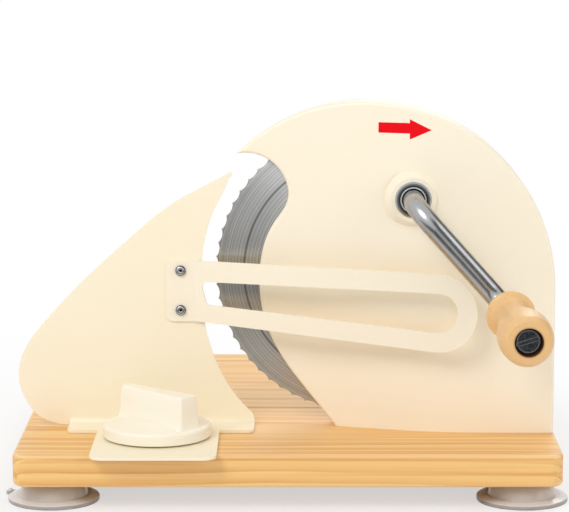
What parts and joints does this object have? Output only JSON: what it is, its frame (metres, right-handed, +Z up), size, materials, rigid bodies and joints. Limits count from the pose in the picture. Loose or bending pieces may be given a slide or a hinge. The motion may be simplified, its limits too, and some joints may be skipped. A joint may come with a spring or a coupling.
{
  "type": "hand cranked bread slicer",
  "caption": "Hand cranked bread slicer: a crank turns a toothed round blade behind a bowed housing, on a wooden base with a fold-down feed table and an adjustable thickness plate.",
  "frame": {"origin": "on the plane that the suction cups stand on, under the middle of the whole footprint with the table folded down", "axes": "+Z up, +Y away from the user towards the folded-down feed table, +X to the user's right, where the housing stands"},
  "size_m": [0.3664, 0.4024, 0.2525],
  "materials": {
    "pine": "oiled, satin",
    "cream_enamel": "satin baked enamel",
    "pale_enamel": "satin baked enamel",
    "zinc_plate": "zinc plated, satin",
    "blade_steel": "ground in rings",
    "polished_steel": "polished",
    "dark_steel": "blackened, satin",
    "bronze": "sintered, dull",
    "beech": "lacquered",
    "knob_plastic": "satin",
    "cup_rubber": "soft, translucent"
  },
  "bodies": {
    "base": {"base_board": "pine", "base_hinge_leaves": "zinc_plate", "base_hinge_screws": "zinc_plate", "base_cup_studs": "zinc_plate", "hinge_pins": "zinc_plate", "housing_shell": "cream_enamel", "back_plate": "zinc_plate", "back_plate_screws": "zinc_plate", "housing_screws": "zinc_plate", "blade_bush": "bronze", "crank_front_bush": "polished_steel", "crank_rear_bush": "bronze", "clamp_stud": "zinc_plate", "clamp_washer": "zinc_plate", "slide_guide": "knob_plastic", "cup_front_left": "cup_rubber", "cup_front_right": "cup_rubber", "cup_rear_left": "cup_rubber", "cup_rear_right": "cup_rubber"},
    "table": {"feed_table": "pine", "table_hinge_leaves": "zinc_plate", "table_hinge_screws": "zinc_plate", "table_cup_studs": "zinc_plate", "table_cup_left": "cup_rubber", "table_cup_right": "cup_rubber"},
    "plate": {"thickness_plate": "cream_enamel", "plate_foot": "cream_enamel", "slice_guard": "pale_enamel", "guard_screws": "polished_steel", "guard_nuts": "zinc_plate"},
    "knob": {"clamp_knob": "knob_plastic"},
    "crank": {"crank_rod": "polished_steel", "crank_gear": "dark_steel", "crank_clip": "zinc_plate", "handle_washer": "zinc_plate", "handle_screw": "dark_steel"},
    "grip": {"handle_grip": "beech"},
    "blade": {"slicing_blade": "blade_steel", "blade_axle": "zinc_plate", "blade_gear": "dark_steel", "blade_clip": "zinc_plate", "blade_washer": "polished_steel", "blade_screw": "polished_steel"}
  },
  "joints": [
    {"name": "crank_turn", "type": "hinge", "parent": "base", "child": "crank", "pos_m": [0.0811, -0.09144, 0.19013], "axis": [0, 1, 0], "continuous": true},
    {"name": "blade_spin", "type": "hinge", "parent": "base", "child": "blade", "pos_m": [0.0477, -0.02194, 0.1379], "axis": [0, 1, 0], "continuous": true},
    {"name": "grip_spin", "type": "hinge", "parent": "crank", "child": "grip", "pos_m": [0.13951, -0.09144, 0.12458], "axis": [-0.0401, 0.9992, 0], "continuous": true},
    {"name": "plate_slide", "type": "slide", "parent": "base", "child": "plate", "axis": [0, 1, 0], "range_m": [-0.002, 0.0095]},
    {"name": "knob_turn", "type": "hinge", "parent": "base", "child": "knob", "pos_m": [-0.085, -0.07594, 0.046], "axis": [0, 0, 1], "range_deg": [0, 180]},
    {"name": "table_fold", "type": "hinge", "parent": "base", "child": "table", "pos_m": [0, 0.01786, 0.0365], "axis": [1, 0, 0], "range_deg": [0, 90]}
  ],
  "couplings": [
    {"joint": "blade_spin", "follows": "crank_turn", "ratio": -1.9524}
  ]
}
